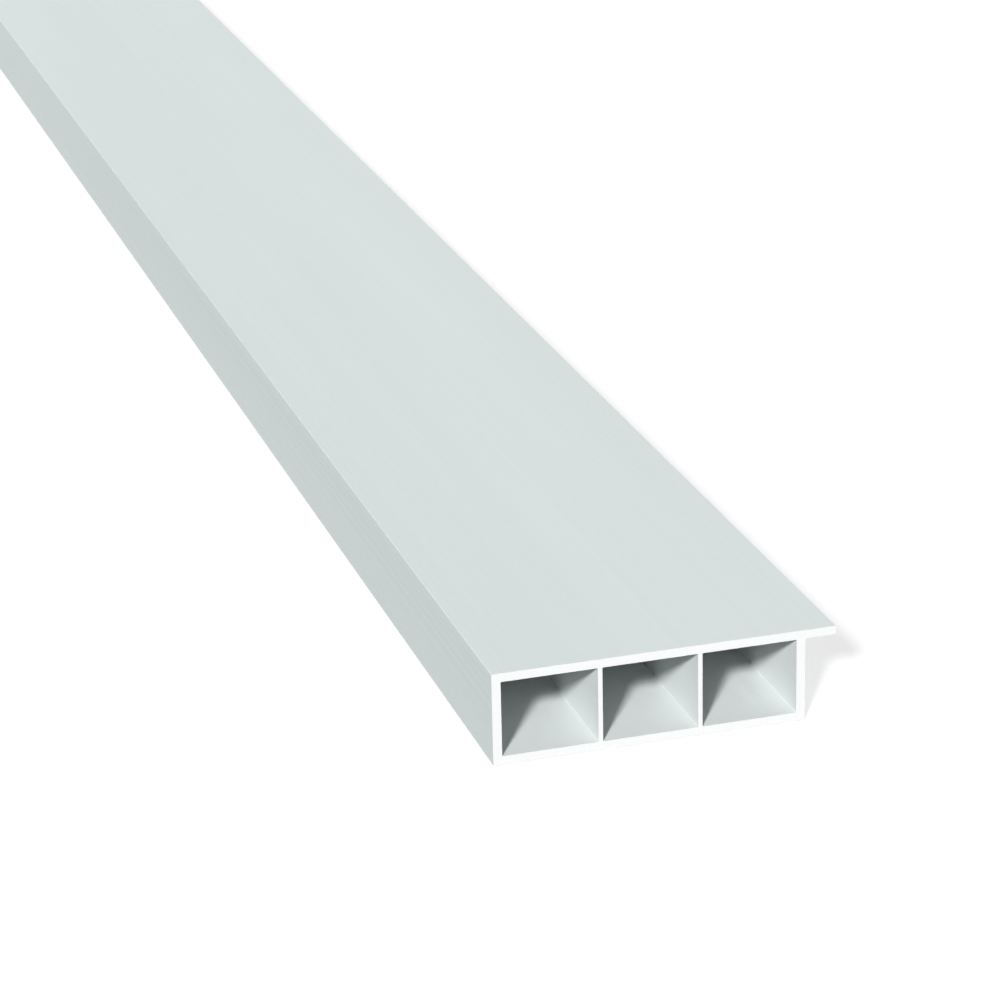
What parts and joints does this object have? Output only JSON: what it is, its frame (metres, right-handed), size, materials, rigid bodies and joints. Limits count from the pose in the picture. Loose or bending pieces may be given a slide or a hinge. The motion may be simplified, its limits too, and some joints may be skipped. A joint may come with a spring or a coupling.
{
  "type": "window trim",
  "caption": "Straight length of hollow extruded PVC window trim: a flat chambered box with a lip along one edge that laps over the window frame.",
  "frame": {"origin": "bottom centre of the part's box: on the plane of the back face, midway along the length and midway across the whole width, lip included", "axes": "+Y along the length, +Z from the back face to the show face, +X towards the lip"},
  "size_m": [0.0698, 2.1336, 0.0191],
  "materials": {
    "white_pvc": "satin"
  },
  "bodies": {
    "root": {"trim_profile": "white_pvc"}
  },
  "joints": []
}
